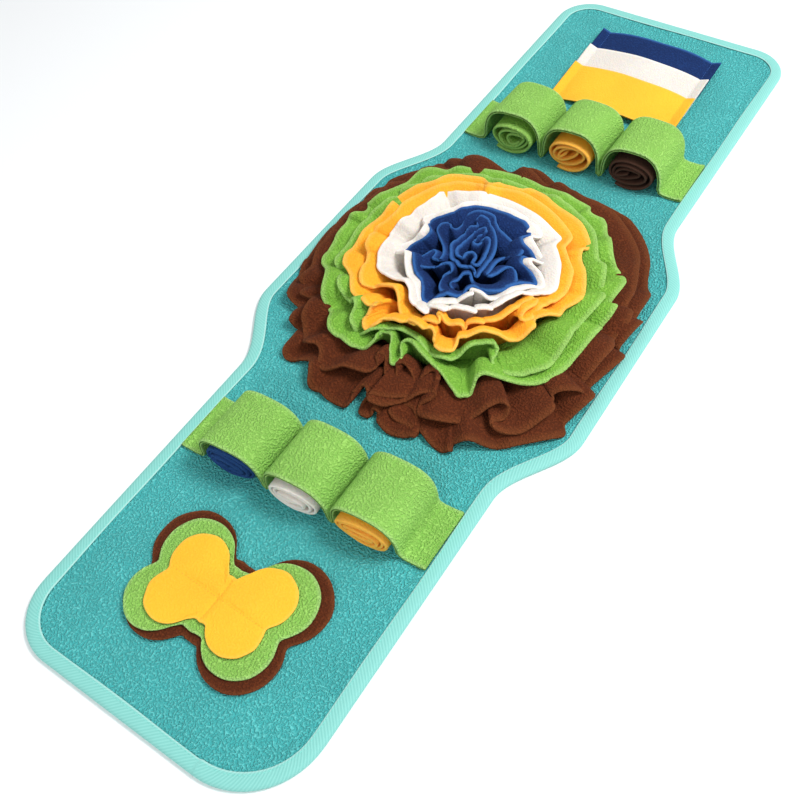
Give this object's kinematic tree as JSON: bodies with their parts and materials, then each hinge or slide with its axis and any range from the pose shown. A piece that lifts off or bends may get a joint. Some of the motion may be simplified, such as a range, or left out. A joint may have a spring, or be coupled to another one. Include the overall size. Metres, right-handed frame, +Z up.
{
  "type": "snuffle mat",
  "caption": "Fabric snuffle mat: long bound fleece base with a large layered ruffle rosette, looped straps holding rolled cloth, a butterfly pad and striped pocket strips for hiding treats",
  "frame": {"origin": "centre of the underside of the mat, on the floor", "axes": "+Y runs along the mat from the butterfly end to the striped end, +X to the right of it, +Z up"},
  "size_m": [0.326, 0.899, 0.0548],
  "materials": {
    "teal_fleece": "anti-pill fleece",
    "aqua_tape": "woven binding tape",
    "lime_fleece": "anti-pill fleece",
    "brown_fleece": "anti-pill fleece",
    "green_fleece": "anti-pill fleece",
    "orange_fleece": "anti-pill fleece",
    "white_fleece": "anti-pill fleece",
    "blue_fleece": "anti-pill fleece",
    "dark_brown_fleece": "anti-pill fleece",
    "yellow_fleece": "anti-pill fleece"
  },
  "bodies": {
    "root": {"base": "teal_fleece", "edge_tape": "aqua_tape", "ruffle_brown_low": "brown_fleece", "ruffle_brown_up": "brown_fleece", "ruffle_green_low": "green_fleece", "ruffle_green_up": "green_fleece", "ruffle_yellow_low": "orange_fleece", "ruffle_yellow_up": "orange_fleece", "ruffle_white_low": "white_fleece", "ruffle_white_up": "white_fleece", "ruffle_blue_outer": "blue_fleece", "ruffle_blue_middle": "blue_fleece", "ruffle_blue_inner": "blue_fleece", "ruffle_blue_core": "blue_fleece", "strap_near": "lime_fleece", "strap_far": "lime_fleece", "roll_near_blue": "blue_fleece", "roll_near_white": "white_fleece", "roll_near_orange": "orange_fleece", "roll_far_green": "green_fleece", "roll_far_orange": "orange_fleece", "roll_far_brown": "dark_brown_fleece", "butterfly_brown": "brown_fleece", "butterfly_green": "green_fleece", "butterfly_yellow": "yellow_fleece", "pocket_blue": "blue_fleece", "pocket_white": "white_fleece", "pocket_yellow": "yellow_fleece"}
  },
  "joints": []
}
